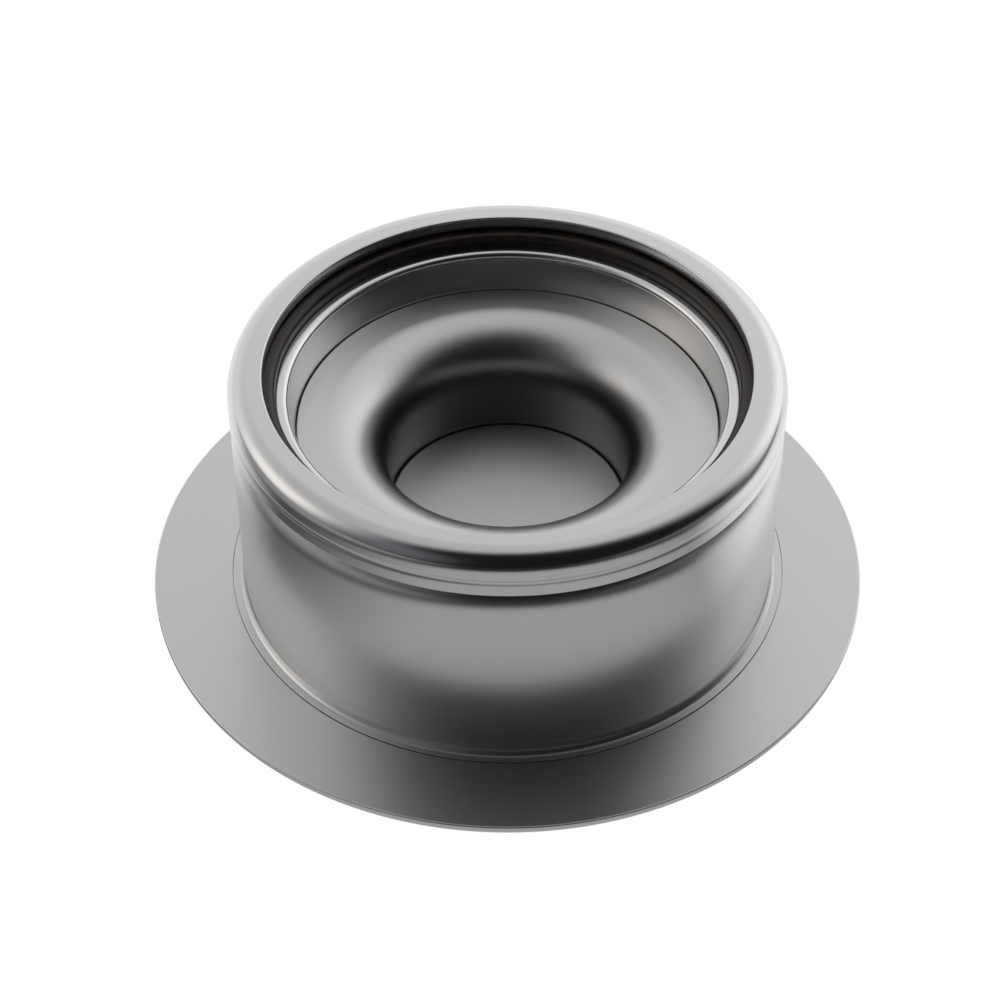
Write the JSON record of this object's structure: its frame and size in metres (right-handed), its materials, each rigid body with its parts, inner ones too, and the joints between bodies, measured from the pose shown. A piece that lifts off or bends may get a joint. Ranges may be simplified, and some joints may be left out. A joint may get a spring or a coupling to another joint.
{
  "type": "sink drain flange with stopper",
  "caption": "Metal sink flange for a food waste disposal, with a thin wide brim, a snap-ring neck and a lift-out stopper with a rubber seal.",
  "frame": {"origin": "centre of the brim's finished face, which is the plane the part stands on", "axes": "+Z along the axis from the brim to the neck's open end; the part is round, so X and Y are any two directions across it"},
  "size_m": [0.1142, 0.1142, 0.0424],
  "materials": {
    "satin_steel": "satin, even, with fine handling marks",
    "turned_steel": "satin, faint turning marks",
    "warm_steel": "satin, slightly warm",
    "pressed_steel": "satin, smooth from pressing",
    "bright_steel": "brighter satin",
    "seal_rubber": "matte to satin, fine specks"
  },
  "bodies": {
    "flange": {"brim_ring": "satin_steel", "neck_tube": "satin_steel", "neck_collar": "turned_steel"},
    "stopper": {"stopper_ring": "warm_steel", "stopper_seal": "seal_rubber", "seal_retainer": "bright_steel", "stopper_dish": "pressed_steel", "knob_cap": "turned_steel"}
  },
  "joints": [
    {"name": "stopper_lift", "type": "slide", "parent": "flange", "child": "stopper", "axis": [0, 0, -1], "range_m": [0, 0.045]}
  ]
}
